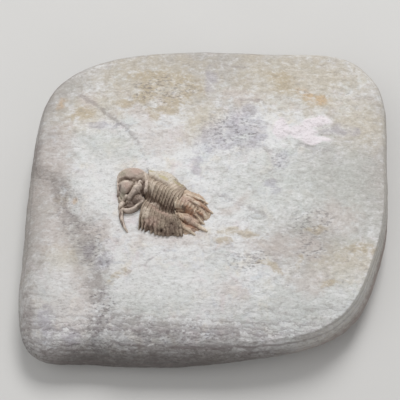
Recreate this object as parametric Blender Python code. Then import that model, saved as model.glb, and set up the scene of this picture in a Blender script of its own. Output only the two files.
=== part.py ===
"""Trilobite fossil lying on its loose block of limestone.

Everything is worked out in millimetres and written in metres. +Z is up, and the
origin is the middle of the flat underside of the stone. The head of the trilobite
points to -X, and its left side, which lies clear of the stone, faces -Y.
"""

import math

import bmesh
import bpy
import numpy as np

MM = 0.001
WELD = 1e-6                    # m, welds the end caps of the bars
GAP = 0.3                      # clear space between neighbouring solids

# ---- stone: driving dimensions, mm ----
PLATEAU = 20.0                 # height of the upper face
CROWN = 0.0006                 # fall of the upper face with distance squared
STONE_POLE = (-12.0, -4.0)     # the point that the rings of the upper face close on
BASE_INSET = 6.5               # how far the flat underside lies inside the widest outline
AROUND = 72                    # vertices round the stone
FACE_RINGS = 15                # rings on the upper face
RING_SPREAD = 1.35             # above 1 they stand closer together near the fossil
SHOULDER_RINGS = 5             # rings on the rounded edge
BELLY_RINGS = 3                # rings under the widest outline

# Widest outline, counter-clockwise from the middle of the right side:
# x, y, height of the widest line, width of the rounded edge, power of its curve.
# A power near 1 is a flat ground face between two crisp edges, 2 is a round edge.
RIM = np.array([
    (53.5, 10.1, 9.0, 3.2, 1.7),
    (54.2, 28.6, 10.0, 4.0, 2.0),
    (51.0, 38.6, 10.5, 4.5, 2.2),
    (41.2, 46.2, 11.0, 4.5, 2.2),
    (18.0, 47.1, 11.0, 4.0, 2.2),
    (-6.0, 47.9, 11.0, 4.0, 2.2),
    (-27.0, 46.0, 11.0, 4.5, 2.2),
    (-41.6, 40.3, 10.5, 5.0, 2.2),
    (-49.8, 29.8, 10.0, 5.5, 2.2),
    (-52.8, 8.0, 9.5, 6.5, 2.1),
    (-53.5, -16.0, 9.0, 7.0, 2.0),
    (-53.4, -36.0, 8.0, 6.5, 1.9),
    (-48.0, -46.0, 7.0, 7.0, 2.0),
    (-32.8, -47.6, 6.0, 8.5, 2.1),
    (-10.0, -48.2, 6.0, 8.5, 2.1),
    (12.0, -46.5, 9.0, 5.5, 2.0),
    (30.4, -42.9, 10.0, 3.6, 1.5),
    (41.9, -35.5, 8.5, 3.0, 1.08),
    (48.9, -22.1, 7.5, 2.8, 1.08),
    (52.8, -7.1, 8.0, 2.8, 1.3),
])

# A lower terrace at the left. Its edge, as y and x, drops away to -X over STEP_WIDTH.
STEP_Y = (-50.0, -38.0, -30.0, -22.0, -16.0, -9.0, -2.0, 3.0, 8.0, 12.0)
STEP_X = (-25.0, -27.0, -29.5, -29.5, -33.0, -35.8, -38.5, -43.5, -51.0, -60.0)
STEP_DROP, STEP_WIDTH = 2.0, 3.2
SWELL_CENTRE, SWELL_SIZE, SWELL_HEIGHT = (-43.5, -25.0), (7.5, 14.0), 1.3
FRONT_FALL, FRONT_START = 0.010, -26.0    # fall of the front with distance squared past a line

# Stone left standing against the far side of the trilobite.
BANK = np.array([(-19.0, 7.6), (-13.0, 7.0), (-8.0, 4.6), (-3.5, 0.6)])
BANK_HEIGHT = 0.9
BANK_WIDTH = 3.2

# ---- thorax and tail: sections across the body, far side first ----
# Each point is x, y and height above the stone's upper face under the body.
THORAX_FRONT = np.array([(-16.9, 5.6, 1.2), (-16.8, 4.4, 2.1), (-16.6, 2.9, 2.8), (-16.6, 0.6, 4.6),
                         (-17.1, -3.3, 2.1), (-17.8, -4.9, 3.3), (-18.8, -6.9, 3.2),
                         (-19.4, -9.7, 2.1), (-19.6, -12.4, 0.6)])
THORAX_MIDDLE = np.array([(-11.0, 4.8, 1.1), (-11.4, 2.6, 2.1), (-11.6, 0.2, 2.7), (-12.2, -2.1, 4.6),
                          (-13.2, -6.4, 1.3), (-13.4, -8.1, 3.0), (-13.5, -9.6, 2.8),
                          (-13.6, -12.0, 1.9), (-13.6, -14.2, 0.6)])
THORAX_REAR = np.array([(-5.8, 0.4, 1.1), (-6.5, -0.7, 2.1), (-6.8, -1.7, 2.7), (-7.6, -4.0, 3.9),
                        (-9.2, -7.4, 1.1), (-8.7, -9.0, 2.7), (-7.7, -10.5, 2.3),
                        (-7.1, -12.5, 1.5), (-7.0, -14.5, 0.6)])
SEGMENTS = 11
ROWS_PER_SEGMENT = 3
ACROSS = 22
RING_RELIEF = 0.5              # drop from a ring's rear edge to the next ring
RING_SWELL = 0.08              # rise of the rows between the drops
TIP_START = 0.86               # share of the way across where the free rib tips begin
TIP_NOTCH = 0.9                # depth of the notches between the tips
TIP_REACH = 0.9                # share of the outermost span by which the notches are drawn in
LEAST_THICKNESS = 0.35         # of the fossil, at its thinnest edge

TAIL_MIDDLE = np.array([(-3.6, -1.6, 0.9), (-4.0, -3.0, 2.2), (-4.6, -4.2, 2.0), (-5.1, -5.9, 3.2),
                        (-5.9, -7.8, 1.3), (-5.7, -9.4, 2.5), (-5.2, -10.6, 1.9),
                        (-5.2, -11.8, 1.3), (-5.5, -12.8, 0.7)])
TAIL_END = np.array([(-2.6, -2.9, 0.7), (-1.9, -4.2, 1.6), (-2.5, -5.3, 1.1), (-1.9, -6.7, 2.1),
                     (-2.6, -7.8, 1.0), (-2.6, -9.3, 1.8), (-3.0, -10.6, 1.0),
                     (-3.4, -11.5, 1.2), (-4.2, -12.3, 0.7)])
TAIL_ROWS = 12
TAIL_RIBS, TAIL_RIB_RELIEF = 5, 0.35
TAIL_JOINT = 0.07              # share of half the thorax length left free in front of the tail
SPINE_TAPER, SPINE_TIP = 0.85, 0.25       # share of the root radius at the middle, radius at the tip
# Root, middle and tip of each tail spine, then its radius at the root.
TAIL_SPINES = {
    "far outer": ((-4.6, -2.8, 1.2), (-2.1, -3.8, 1.4), (0.5, -5.2, 0.6), 0.62),
    "far inner": ((-2.9, -4.6, 1.3), (-0.7, -6.2, 1.4), (1.6, -7.6, 0.6), 0.62),
    "middle": ((-3.5, -6.6, 1.6), (-2.1, -7.6, 1.2), (-0.7, -8.5, 0.6), 0.55),
    "near inner": ((-5.7, -9.8, 1.4), (-2.6, -11.6, 1.4), (0.4, -13.0, 0.6), 0.66),
    "near outer": ((-7.0, -11.1, 1.0), (-5.4, -12.4, 1.1), (-3.5, -13.6, 0.6), 0.52),
}

# ---- head ----
# Each lobe: centre x, y, height above the stone, half sizes, turn about +Z in degrees.
HEAD_LOBES = {
    "cheek plate": ((-21.5, 0.3, 0.2), (4.0, 5.2, 2.3), 0),
    "front lobe": ((-21.6, 3.0, 2.2), (4.0, 2.3, 2.6), -6),
    "side lobe": ((-23.1, -0.1, 2.1), (2.3, 2.15, 2.4), 0),
    "eye ridge": ((-20.6, -1.7, 2.3), (2.1, 1.2, 1.9), 50),
    "eye": ((-20.1, -3.5, 1.2), (1.75, 1.6, 1.8), 5),
    "eye knob": ((-19.2, 0.8, 3.4), (0.75, 0.7, 0.8), 0),
    "cheek swelling": ((-22.8, -2.9, 0.9), (1.4, 1.3, 1.2), 0),
    "neck ring": ((-18.25, 1.2, 1.4), (1.0, 3.4, 1.9), 2),
}
LOBE_SEGMENTS, LOBE_RINGS = 18, 11
# Block that cuts the head off above the stone: middle and half sizes in plan, depth, cells each way.
BED_CENTRE, BED_REACH, BED_DEPTH, BED_CELLS = (-21.5, -3.5), (7.5, 11.5), 8.0, (10, 14)
# Each bar: points x, y, height, with a radius at each point.
HEAD_BARS = {
    "rear border": (((-24.2, -6.7, 0.9), (-21.6, -6.5, 1.5), (-19.9, -4.7, 1.6)), (0.7, 0.7, 0.7)),
    "cheek spine": (((-24.4, -6.4, 1.0), (-24.5, -9.2, 0.9), (-23.8, -11.3, 0.75), (-22.6, -12.9, 0.6)),
                    (0.72, 0.5, 0.36, 0.24)),
}

SHARP_ANGLE = math.radians(35.0)
STONE_COLOUR = (0.49, 0.47, 0.45)
HEAD_COLOUR = (0.27, 0.20, 0.155)
BODY_COLOUR = (0.24, 0.175, 0.13)
TAIL_COLOUR = (0.33, 0.21, 0.13)


def clear_scene():
    for thing in list(bpy.data.objects):
        bpy.data.objects.remove(thing, do_unlink=True)


def make_collection(name):
    group = bpy.data.collections.new(name)
    bpy.context.scene.collection.children.link(group)
    return group


def make_material(name, colour, roughness):
    material = bpy.data.materials.new(name)
    material.use_nodes = True
    shader = material.node_tree.nodes["Principled BSDF"]
    shader.inputs["Base Color"].default_value = (*colour, 1.0)
    shader.inputs["Roughness"].default_value = roughness
    shader.inputs["Metallic"].default_value = 0.0
    material.diffuse_color = (*colour, 1.0)
    return material


def place(name, bm, group, material=None):
    """Writes a bmesh that is in millimetres as an object in metres."""
    bmesh.ops.recalc_face_normals(bm, faces=bm.faces)
    bmesh.ops.scale(bm, vec=(MM, MM, MM), verts=bm.verts)
    mesh = bpy.data.meshes.new(name)
    bm.to_mesh(mesh)
    bm.free()
    item = bpy.data.objects.new(name, mesh)
    group.objects.link(item)
    if material:
        mesh.materials.append(material)
    return item


def catmull(before, start, end, after, share):
    """Catmull-Rom curve between start and end."""
    return 0.5 * (2 * start + (end - before) * share
                  + (2 * before - 5 * start + 4 * end - after) * share ** 2
                  + (3 * start - before - 3 * end + after) * share ** 3)


def through(points, where, closed=False):
    """Smooth curve through points, read at where, counted in points."""
    count = len(points)
    where = np.asarray(where, float)
    first = np.floor(where).astype(int) if closed else np.clip(np.floor(where).astype(int), 0, count - 2)
    share = (where - first)[..., None]
    index = [first - 1, first, first + 1, first + 2]
    index = [i % count if closed else np.clip(i, 0, count - 1) for i in index]
    return catmull(*(points[i] for i in index), share)


def distance_to_path(x, y, path):
    """Shortest distance in plan from each x, y to a path of straight lines."""
    nearest = np.full(np.shape(x), np.inf)
    for (ax, ay), (bx, by) in zip(path[:-1], path[1:]):
        along = ((x - ax) * (bx - ax) + (y - ay) * (by - ay)) / ((bx - ax) ** 2 + (by - ay) ** 2)
        along = np.clip(along, 0.0, 1.0)
        nearest = np.minimum(nearest, np.hypot(x - ax - along * (bx - ax), y - ay - along * (by - ay)))
    return nearest


def hill(x, y, centre, size):
    return np.exp(-((x - centre[0]) / size[0]) ** 2 - ((y - centre[1]) / size[1]) ** 2)


def stone_height(x, y):
    """Height of the stone's upper face."""
    x, y = np.asarray(x, float), np.asarray(y, float)
    height = PLATEAU - CROWN * (x * x + y * y)
    past_step = np.interp(y, STEP_Y, STEP_X) - x
    height = height - STEP_DROP * 0.5 * (1.0 + np.tanh(past_step / STEP_WIDTH))
    height = height - FRONT_FALL * np.maximum(FRONT_START - y, 0.0) ** 2
    height = height + SWELL_HEIGHT * hill(x, y, SWELL_CENTRE, SWELL_SIZE)
    return height + BANK_HEIGHT * np.exp(-(distance_to_path(x, y, BANK) / BANK_WIDTH) ** 2)


def stone_point(ring, turn):
    """Point of the stone on a ring counted from the top pole, at a turn from 0 to 1."""
    x, y, belly, width, power = through(RIM, turn * len(RIM), closed=True)
    outward = np.array((x - STONE_POLE[0], y - STONE_POLE[1]))
    reach = math.hypot(*outward)
    shoulder_end = FACE_RINGS + SHOULDER_RINGS
    if ring <= shoulder_end:
        if ring <= FACE_RINGS:
            inward = width + (reach - width) * (1.0 - (ring / FACE_RINGS) ** RING_SPREAD)
        else:
            inward = width * (1.0 - math.sin(0.5 * math.pi * (ring - FACE_RINGS) / SHOULDER_RINGS))
        fall = (1.0 - min(inward / width, 1.0)) ** power
        position = np.array(STONE_POLE) + outward * (1.0 - inward / reach)
        top = float(stone_height(*position))
        return (*position, belly + (top - belly) * (1.0 - fall) ** (1.0 / power))
    under = min((ring - shoulder_end) / BELLY_RINGS, 1.0)
    inward = BASE_INSET * (1.0 - math.cos(0.5 * math.pi * under))
    position = np.array(STONE_POLE) + outward * (1.0 - inward / reach)
    return (*position, belly * (1.0 - math.sin(0.5 * math.pi * under)))


def make_matrix(group):
    """The stone: a UV sphere whose rings become the upper face, the edge and the base."""
    rings = FACE_RINGS + SHOULDER_RINGS + BELLY_RINGS + 1
    bm = bmesh.new()
    bmesh.ops.create_uvsphere(bm, u_segments=AROUND, v_segments=rings, radius=1.0)
    for vertex in bm.verts:
        ring = round(math.acos(max(-1.0, min(1.0, vertex.co.z))) / math.pi * rings)
        turn = (math.atan2(vertex.co.y, vertex.co.x) / (2.0 * math.pi)) % 1.0
        if ring == rings:
            vertex.co = (*STONE_POLE, 0.0)
        else:
            vertex.co = stone_point(ring, turn)
    return place("matrix", bm, group, make_material("limestone", STONE_COLOUR, 0.9))


def underside(x, y):
    return stone_height(x, y) + GAP


def lofted_solid(sections, stations, columns, relief):
    """Skin through sections across the body, closed below along the stone.

    relief gives, for a row's place along the body and a column's place across it,
    the extra height and the share of the outermost span that is drawn in.
    """
    bm = bmesh.new()
    bmesh.ops.create_grid(bm, x_segments=len(stations) - 1, y_segments=columns, size=0.5)
    across = np.linspace(0.0, len(sections[0]) - 1.0, columns + 1)
    rows = []
    for station in stations:
        section = through(np.array(sections), station * (len(sections) - 1))
        rows.append(through(section, across))
    for vertex in bm.verts:
        row = round((vertex.co.x + 0.5) * (len(stations) - 1))
        column = round((vertex.co.y + 0.5) * columns)
        x, y, height = rows[row][column]
        lift, drawn = relief(stations[row], column / columns)
        inner = rows[row][max(column - 1, 0)]
        x, y = x + drawn * (inner[0] - x), y + drawn * (inner[1] - y)
        base = float(underside(x, y))
        level = PLATEAU + height + lift
        vertex.co = (x, y, max(level, base + LEAST_THICKNESS))
    skin = list(bm.faces)
    below = bmesh.ops.extrude_face_region(bm, geom=skin)["geom"]
    for item in below:
        if isinstance(item, bmesh.types.BMVert):
            item.co.z = float(underside(item.co.x, item.co.y))
    return bm


def make_thorax(group):
    """Eleven overlapping body rings, each rising to its rear edge, with free tips."""
    count = SEGMENTS * ROWS_PER_SEGMENT

    def relief(station, across):
        notched = round(station * count) % ROWS_PER_SEGMENT == 0
        if not notched:
            return (0.0 if across > TIP_START else RING_SWELL), 0.0
        if across > TIP_START:
            return -TIP_NOTCH, TIP_REACH if across == 1.0 else 0.0
        return -RING_RELIEF, 0.0

    stations = [row / count for row in range(count + 1)]
    bm = lofted_solid((THORAX_FRONT, THORAX_MIDDLE, THORAX_REAR), stations, ACROSS, relief)
    return place("thorax", bm, group, make_material("brown fossil", BODY_COLOUR, 0.6))


def make_bar(name, points, radii, group):
    """Tapered round bar along points, made a closed mesh."""
    curve = bpy.data.curves.new(name, "CURVE")
    curve.dimensions = "3D"
    curve.bevel_depth = MM
    curve.bevel_resolution = 2
    curve.use_fill_caps = True
    spline = curve.splines.new("POLY")
    fine = np.linspace(0.0, len(points) - 1.0, 3 * (len(points) - 1) + 1)
    route = through(np.array(points, float), fine)
    sizes = np.interp(fine, range(len(radii)), radii)
    spline.points.add(len(route) - 1)
    for knot, (x, y, height), size in zip(spline.points, route, sizes):
        knot.co = (x * MM, y * MM, (PLATEAU + height) * MM, 1.0)
        knot.radius = size
    holder = bpy.data.objects.new(name, curve)
    group.objects.link(holder)
    return as_mesh(holder, group)


def as_mesh(holder, group):
    """Replaces a curve object by its mesh, with the end caps welded."""
    graph = bpy.context.evaluated_depsgraph_get()
    mesh = bpy.data.meshes.new_from_object(holder.evaluated_get(graph))
    name = holder.name
    bpy.data.objects.remove(holder, do_unlink=True)
    bm = bmesh.new()
    bm.from_mesh(mesh)
    bmesh.ops.remove_doubles(bm, verts=bm.verts, dist=WELD)
    bmesh.ops.recalc_face_normals(bm, faces=bm.faces)
    bm.to_mesh(mesh)
    bm.free()
    item = bpy.data.objects.new(name, mesh)
    group.objects.link(item)
    return item


def hide_cutter(item):
    item.hide_render = True
    item.display_type = "WIRE"


def combine(item, other, operation):
    """Adds a Boolean to item, and makes the other object a hidden cutter."""
    modifier = item.modifiers.new(other.name, "BOOLEAN")
    modifier.operation = operation
    modifier.solver = "EXACT"
    modifier.object = other
    hide_cutter(other)


def make_pygidium(group, cutters):
    """Tail plate that follows the last ring, with finger-like spines."""
    front = THORAX_REAR + (THORAX_REAR - THORAX_MIDDLE) * (TAIL_JOINT, TAIL_JOINT, 0.0)

    def relief(station, across):
        return TAIL_RIB_RELIEF * station * math.cos(2.0 * math.pi * TAIL_RIBS * across), 0.0

    stations = [row / TAIL_ROWS for row in range(TAIL_ROWS + 1)]
    bm = lofted_solid((front, TAIL_MIDDLE, TAIL_END), stations, ACROSS, relief)
    tail = place("pygidium", bm, group, make_material("orange-brown fossil", TAIL_COLOUR, 0.6))
    for name, (root, middle, tip, radius) in TAIL_SPINES.items():
        radii = (radius, SPINE_TAPER * radius, SPINE_TIP)
        bar = make_bar("tail spine " + name, (root, middle, tip), radii, cutters)
        combine(tail, bar, "UNION")
    return tail


def make_lobe(name, centre, half_sizes, turn, group):
    bm = bmesh.new()
    bmesh.ops.create_uvsphere(bm, u_segments=LOBE_SEGMENTS, v_segments=LOBE_RINGS, radius=1.0)
    angle = math.radians(turn)
    for vertex in bm.verts:
        x, y, z = (vertex.co[i] * half_sizes[i] for i in range(3))
        vertex.co = (centre[0] + x * math.cos(angle) - y * math.sin(angle),
                     centre[1] + x * math.sin(angle) + y * math.cos(angle),
                     PLATEAU + centre[2] + z)
    return place(name, bm, group)


def make_cephalon(group, cutters):
    """Head shield: lobes and bars grown together, cut off just above the stone."""
    head = None
    for name, (centre, half_sizes, turn) in HEAD_LOBES.items():
        lobe = make_lobe(name, centre, half_sizes, turn, cutters if head else group)
        if head is None:
            head = lobe
        else:
            combine(head, lobe, "UNION")
    head.name = head.data.name = "cephalon"
    head.data.materials.append(make_material("grey-brown fossil", HEAD_COLOUR, 0.55))
    for name, (points, radii) in HEAD_BARS.items():
        combine(head, make_bar(name, points, radii, cutters), "UNION")
    combine(head, make_bed(cutters), "DIFFERENCE")
    return head


def make_bed(cutters):
    """Block under the head, whose top lies one gap above the stone."""
    bm = bmesh.new()
    bmesh.ops.create_grid(bm, x_segments=BED_CELLS[0], y_segments=BED_CELLS[1], size=1.0)
    for vertex in bm.verts:
        x, y = (BED_CENTRE[i] + BED_REACH[i] * vertex.co[i] for i in range(2))
        vertex.co = (x, y, float(underside(x, y)))
    below = bmesh.ops.extrude_face_region(bm, geom=list(bm.faces))["geom"]
    for item in below:
        if isinstance(item, bmesh.types.BMVert):
            item.co.z = PLATEAU - BED_DEPTH
    return place("bed", bm, cutters)


def main():
    clear_scene()
    group = make_collection("trilobite fossil")
    cutters = make_collection("cutters")
    make_matrix(group)
    make_cephalon(group, cutters)
    make_thorax(group)
    make_pygidium(group, cutters)
    for item in group.objects:
        item.data.shade_smooth()
        item.data.set_sharp_from_angle(angle=SHARP_ANGLE)


main()
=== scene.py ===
# Looks of the trilobite fossil on its stone: fine surfaces, finishes, floor, light and camera.
import math

import bpy
import numpy as np
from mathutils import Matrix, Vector


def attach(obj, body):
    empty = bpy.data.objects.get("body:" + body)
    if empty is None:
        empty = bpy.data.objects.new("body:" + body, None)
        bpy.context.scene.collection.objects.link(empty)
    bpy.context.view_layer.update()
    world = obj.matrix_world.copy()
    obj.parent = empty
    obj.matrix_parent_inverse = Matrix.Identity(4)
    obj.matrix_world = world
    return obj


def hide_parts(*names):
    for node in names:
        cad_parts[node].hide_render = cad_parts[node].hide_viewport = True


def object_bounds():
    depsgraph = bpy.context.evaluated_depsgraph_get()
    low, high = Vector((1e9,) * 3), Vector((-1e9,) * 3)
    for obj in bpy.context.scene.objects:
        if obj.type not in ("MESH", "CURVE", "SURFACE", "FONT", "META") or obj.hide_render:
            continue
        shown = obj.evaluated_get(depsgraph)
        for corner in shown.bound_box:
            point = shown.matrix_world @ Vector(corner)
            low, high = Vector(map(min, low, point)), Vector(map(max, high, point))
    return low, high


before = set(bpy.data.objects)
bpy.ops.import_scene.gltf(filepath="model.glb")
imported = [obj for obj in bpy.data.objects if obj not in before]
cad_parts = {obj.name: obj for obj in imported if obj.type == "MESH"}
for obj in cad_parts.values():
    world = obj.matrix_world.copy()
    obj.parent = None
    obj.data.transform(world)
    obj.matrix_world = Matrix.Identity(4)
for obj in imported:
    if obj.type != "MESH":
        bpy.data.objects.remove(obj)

cadBox = [list(corner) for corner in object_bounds()]
mm = 0.001
boxLow, boxHigh = (np.array(corner) / mm for corner in cadBox)


def through(points, where, closed=False):
    # Catmull-Rom: a cubic between two points whose slopes come from the points on either side
    points = np.asarray(points, float)
    where = np.asarray(where, float)
    count = len(points)
    first = np.floor(where).astype(int)
    if not closed:
        first = np.clip(first, 0, count - 2)
    share = (where - first).reshape(where.shape + (1,) * (points.ndim - 1))
    index = [first - 1, first, first + 1, first + 2]
    index = [i % count if closed else np.clip(i, 0, count - 1) for i in index]
    before, start, end, after = (points[i] for i in index)
    return 0.5 * (2 * start + (end - before) * share
                  + (2 * before - 5 * start + 4 * end - after) * share ** 2
                  + (3 * start - before - 3 * end + after) * share ** 3)


latticePrimes, seedPrime, mixPrime = (73856093, 19349663, 83492791), 2654435761, 1274126177


def latticeNoise(x, y, z, seed):
    # value noise: numbers scattered by primes on whole-number corners, eased between them; -1 to 1
    cells = [np.floor(axis).astype(np.int64) for axis in (x, y, z)]
    eased = [ease(0, 1, axis - cell) for axis, cell in zip((x, y, z), cells)]
    total = 0.0
    for corner in range(8):
        steps = (corner & 1, corner >> 1 & 1, corner >> 2 & 1)
        mixed, weight = seed * seedPrime, 1.0
        for cell, step, prime, share in zip(cells, steps, latticePrimes, eased):
            mixed = mixed ^ (cell + step) * prime
            weight = weight * (share if step else 1 - share)
        mixed = (mixed ^ mixed >> 13) * mixPrime & 0x7FFFFFFF
        mixed = (mixed ^ mixed >> 15) & 0xFFFF
        total = total + weight * mixed / 32767.5
    return total - 1.0


def roughness(x, y, z, size, octaves, seed, gain=0.5):
    # sum of value noises, each half the size and gain times the height of the one before
    total, height, reach = 0.0, 1.0, 0.0
    for octave in range(octaves):
        scale = 2.0 ** octave / size
        total = total + height * latticeNoise(x * scale + 17.3 * octave, y * scale, z * scale, seed + octave)
        reach += height
        height *= gain
    return total / reach


def uneven(x, y, z, kind):
    # one kind of roughness: height, size in mm, octaves, seed
    height, *grain = kind
    return height * roughness(x, y, z, *grain)


def granules(x, y, kind, floor=-0.3):
    # a kind of roughness whose hollows are cut off at a share of its height
    height, *grain = kind
    return height * np.maximum(roughness(x, y, 0 * x, *grain), floor)


def ease(low, high, value):
    # 0 below low, 1 above high, a smooth S between
    share = np.clip((value - low) / (high - low), 0.0, 1.0)
    return share * share * (3 - 2 * share)


def band(value, rise, fall):
    # eased up from 0 to 1 over the first pair, and down to 0 again over the second
    return ease(*rise, value) * ease(*fall, value)


def bell(value, centre, width):
    # Gauss bell about a centre
    return np.exp(-((value - centre) / width) ** 2)


def hill(x, y, centre, size, turn=0.0):
    # Gauss bell on an ellipse turned by an angle in degrees
    c, s = math.cos(math.radians(turn)), math.sin(math.radians(turn))
    along = (x - centre[0]) * c + (y - centre[1]) * s
    across = -(x - centre[0]) * s + (y - centre[1]) * c
    return np.exp(-(along / size[0]) ** 2 - (across / size[1]) ** 2)


def patch(x, y, spot):
    # bell on an ellipse: centre, size, height
    centre, size, height = spot
    return height * hill(x, y, centre, size)


def distanceToPath(x, y, path):
    # shortest distance in plan to a run of straight lines
    nearest = np.full(np.shape(x), 1e9)
    for (ax, ay), (bx, by) in zip(path[:-1], path[1:]):
        along = ((x - ax) * (bx - ax) + (y - ay) * (by - ay)) / ((bx - ax) ** 2 + (by - ay) ** 2)
        along = np.clip(along, 0.0, 1.0)
        nearest = np.minimum(nearest, np.hypot(x - ax - along * (bx - ax), y - ay - along * (by - ay)))
    return nearest


def groove(x, y, path, width, depth):
    # trench with a bell-shaped section along a path
    return -depth * np.exp(-(distanceToPath(x, y, path) / width) ** 2)


spotTop = 1.15    # mask in the middle of a spot


def spotMask(x, y, spots, drop=0.0):
    # the greatest of its spots: highest in the middle, falling straight by 1 to the edge of the ellipse
    mask = np.zeros_like(x)
    for px, py, wide, tall, turn in spots:
        c, s = math.cos(math.radians(turn)), math.sin(math.radians(turn))
        along = ((x - px) * c + (y - py) * s) / wide
        across = ((y - py) * c - (x - px) * s) / tall
        mask = np.maximum(mask, spotTop - np.sqrt(along ** 2 + across ** 2 + drop ** 2))
    return mask


def closedTube(points, flip=False, ends=None):
    # quads between rings of points, and a fan over each end ring from its middle or from a given point
    rows, columns = points.shape[:2]
    flat = points.reshape(-1, 3)
    flat = np.vstack([flat, (points[0].mean(0), points[-1].mean(0)) if ends is None else ends])
    ring, row = np.arange(columns), np.arange(rows - 1)[:, None] * columns
    beside = (ring + 1) % columns
    last, low, high = (rows - 1) * columns, rows * columns, rows * columns + 1
    quads = np.stack([row + ring, row + beside, row + beside + columns, row + ring + columns], -1)
    quads = quads.reshape(-1, 4)
    caps = np.vstack([np.stack([np.full(columns, low), beside, ring], -1),
                      np.stack([last + ring, last + beside, np.full(columns, high)], -1)])
    if flip:
        quads, caps = quads[:, ::-1], caps[:, ::-1]
    return flat, quads.tolist() + caps.tolist()


def makePiece(name, points, faces, marks):
    # one closed shell, in mm, as a mesh object in metres with its point attributes
    mesh = bpy.data.meshes.new(name)
    mesh.from_pydata((points * mm).tolist(), [], faces)
    mesh.update()
    for label, values in marks.items():
        layer = mesh.attributes.new(label, "FLOAT", "POINT")
        layer.data.foreach_set("value", values.astype(np.float32))
    mesh.shade_smooth()
    piece = bpy.data.objects.new(name, mesh)
    bpy.context.scene.collection.objects.link(piece)
    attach(piece, "root")
    return piece


class Wire:
    # one output socket; an expression on wires and numbers adds the Math nodes that work it out
    def __init__(self, sheet, socket):
        self.sheet, self.socket = sheet, socket

    def maths(self, operation, *values):
        # one Math node: the operation on its values in their order
        return self.sheet.node("ShaderNodeMath", {"operation": operation}, values)

    def __add__(self, other): return self.maths("ADD", self, other)
    def __mul__(self, other): return self.maths("MULTIPLY", self, other)
    def __sub__(self, other): return self.maths("SUBTRACT", self, other)
    def __rsub__(self, other): return self.maths("SUBTRACT", other, self)
    __radd__ = __add__
    __rmul__ = __mul__

    def span(self, low, high, start=0.0, end=1.0):
        # eased remap from low..high to start..end, held at both ends
        return self.sheet.node("ShaderNodeMapRange", {"interpolation_type": "SMOOTHSTEP"}, {
            "Value": self, "From Min": low, "From Max": high, "To Min": start, "To Max": end})


class Sheet:
    # one material's node tree; place is the point on the piece in mm, facing its normal
    def __init__(self, name):
        self.material = bpy.data.materials.new(name)
        self.material.use_nodes = True
        self.tree = self.material.node_tree
        self.shader = self.tree.nodes["Principled BSDF"]
        place = self.node("ShaderNodeTexCoord", {}, {}, "Object")
        self.place = self.node("ShaderNodeVectorMath", {"operation": "SCALE"}, {0: place, "Scale": 1 / mm})
        split = self.node("ShaderNodeSeparateXYZ", {}, [self.place]).socket.node
        self.x, self.y, self.z = (Wire(self, output) for output in split.outputs)
        self.facing = self.node("ShaderNodeNewGeometry", {}, {}, "Normal")

    def feed(self, socket, value):
        # link a wire, or set a value
        if isinstance(value, Wire):
            self.tree.links.new(value.socket, socket)
        elif value is not None:
            socket.default_value = value

    def node(self, kind, settings, inputs, output=0):
        # settings first, then the sockets by place in a list or by name; the wire of one output
        made = self.tree.nodes.new(kind)
        for key, value in settings.items():
            setattr(made, key, value)
        for key, value in inputs.items() if isinstance(inputs, dict) else enumerate(inputs):
            self.feed(made.inputs[key], value)
        return Wire(self, made.outputs[output])

    def noise(self, size, detail=4.0, rough=0.5, bend=0.0, stretch=None):
        # noise whose blobs are about size mm across, 0 to 1 about one half; stretch is a turn and a scale
        where = self.place
        if stretch:
            where = self.node("ShaderNodeMapping", {}, {
                "Vector": where, "Rotation": (0, 0, stretch[0]), "Scale": stretch[1]})
        return self.node("ShaderNodeTexNoise", {}, {
            "Vector": where, "Scale": 1.0 / size, "Detail": detail, "Roughness": rough, "Distortion": bend})

    def lines(self, along, scale, detail=3.0):
        # noise in one direction, which makes layers
        return self.node("ShaderNodeTexNoise", {"noise_dimensions": "1D"}, {
            "W": along, "Scale": scale, "Detail": detail})

    def blend(self, share, first, second):
        # mix of two colours, each a wire or screen numbers, by a share that is a wire or a number
        first, second = (value if isinstance(value, Wire) else paint(*value) for value in (first, second))
        return self.node("ShaderNodeMix", {"data_type": "RGBA"}, {0: share, 6: first, 7: second}, 2)

    def attribute(self, name):
        # a painted point mask
        return self.node("ShaderNodeAttribute", {"attribute_name": name}, {}, "Fac")

    def finish(self, colour, rough, bumps):
        # bumps is a list of (height in mm as a wire, strength), each fed into the next one's normal
        normal = None
        for height, strength in bumps:
            normal = self.node("ShaderNodeBump", {}, {
                "Height": height, "Strength": strength, "Distance": mm, "Normal": normal})
        for socket, value in (("Base Color", colour), ("Roughness", rough), ("Normal", normal)):
            self.feed(self.shader.inputs[socket], value)
        return self.material


def paint(red, green, blue):
    # screen colour 0 to 255 through the sRGB curve, as a linear colour with alpha
    return tuple(((c / 255 + 0.055) / 1.055) ** 2.4 for c in (red, green, blue)) + (1.0,)


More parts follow.
